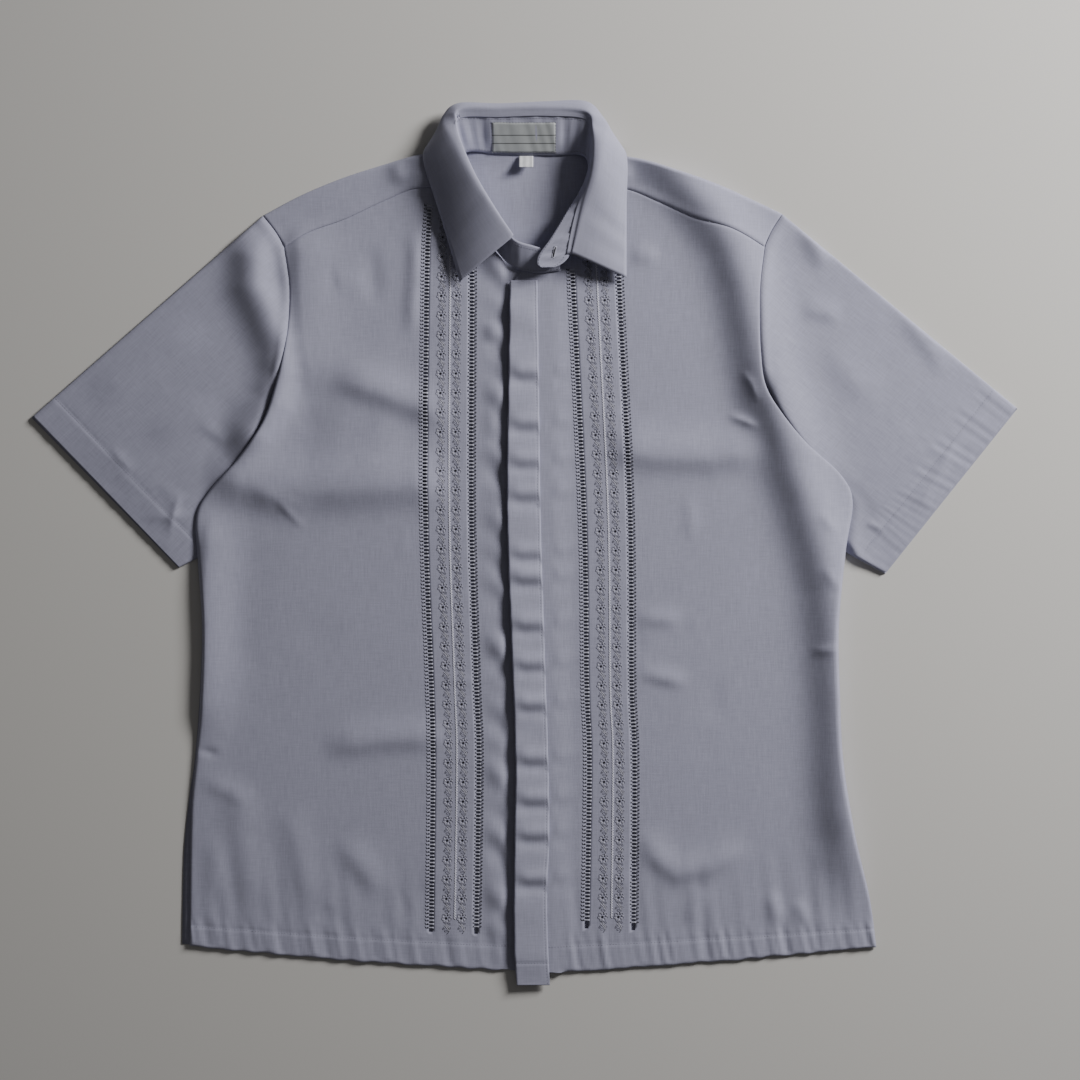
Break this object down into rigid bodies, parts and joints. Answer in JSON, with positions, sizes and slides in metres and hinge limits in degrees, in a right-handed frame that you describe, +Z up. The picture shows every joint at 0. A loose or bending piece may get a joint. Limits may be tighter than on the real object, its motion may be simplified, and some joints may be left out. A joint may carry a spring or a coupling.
{
  "type": "barong tagalog shirt, short sleeved, laid flat",
  "caption": "Pale lilac-grey short-sleeved barong tagalog shirt with a fly placket and two embroidered drawn-thread bands, closed and laid flat face up.",
  "frame": {"origin": "on the surface that the shirt lies on, under the middle of its outline", "axes": "+X towards the wearer's left sleeve, the longest extent; +Y from the hem to the collar; +Z up off the surface, the shortest extent"},
  "size_m": [0.9008, 0.8075, 0.0302],
  "materials": {
    "shirt_cloth": "matt plain-weave shirting with fine vertical slubs",
    "collar_cloth": "the same cloth over interlining, smoother and stiffer",
    "label_cloth": "woven satin ribbon",
    "tab_cloth": "matt woven tape",
    "button_plastic": "semi-gloss pearl resin"
  },
  "bodies": {
    "root": {"back": "shirt_cloth", "yoke": "shirt_cloth", "front_right": "shirt_cloth", "front_left": "shirt_cloth", "fly_placket": "shirt_cloth", "sleeve_right": "shirt_cloth", "sleeve_left": "shirt_cloth", "collar_stand": "collar_cloth", "collar_leaf": "collar_cloth", "brand_label": "label_cloth", "size_tab": "tab_cloth", "button_1": "button_plastic", "button_2": "button_plastic", "button_3": "button_plastic", "button_4": "button_plastic", "button_5": "button_plastic", "button_6": "button_plastic", "button_stand": "button_plastic"}
  },
  "joints": []
}
